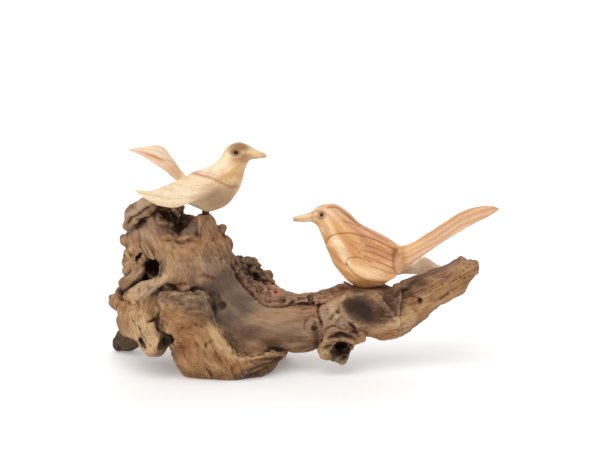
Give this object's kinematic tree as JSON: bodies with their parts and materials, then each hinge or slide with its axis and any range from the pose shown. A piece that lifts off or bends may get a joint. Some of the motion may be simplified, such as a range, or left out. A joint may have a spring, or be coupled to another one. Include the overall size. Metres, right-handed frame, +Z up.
{
  "type": "carved bird pair on rootwood",
  "caption": "Carved wooden birds, one spreading its wings on a peak and one with its tail raised, on a piece of weathered rootwood that stands on its own feet.",
  "frame": {"origin": "on the surface that the feet stand on, under the middle of the whole object's box", "axes": "+X along the branch towards its cut end, -Y towards the side shown in the picture, +Z up"},
  "size_m": [0.2456, 0.0776, 0.1433],
  "materials": {
    "root_wood": "weathered, dull, fibrous bark-stripped root",
    "pale_bird_wood": "carved and sanded pale wood, satin",
    "golden_bird_wood": "carved and sanded golden wood with striped grain, satin",
    "dark_peg": "dark stained wood",
    "eye_bead": "glossy black bead"
  },
  "bodies": {
    "root": {"rootwood": "root_wood", "upper_bird": "pale_bird_wood", "lower_bird": "golden_bird_wood", "perch_peg": "dark_peg", "upper_eye_near": "eye_bead", "upper_eye_far": "eye_bead", "lower_eye_near": "eye_bead", "lower_eye_far": "eye_bead"}
  },
  "joints": []
}
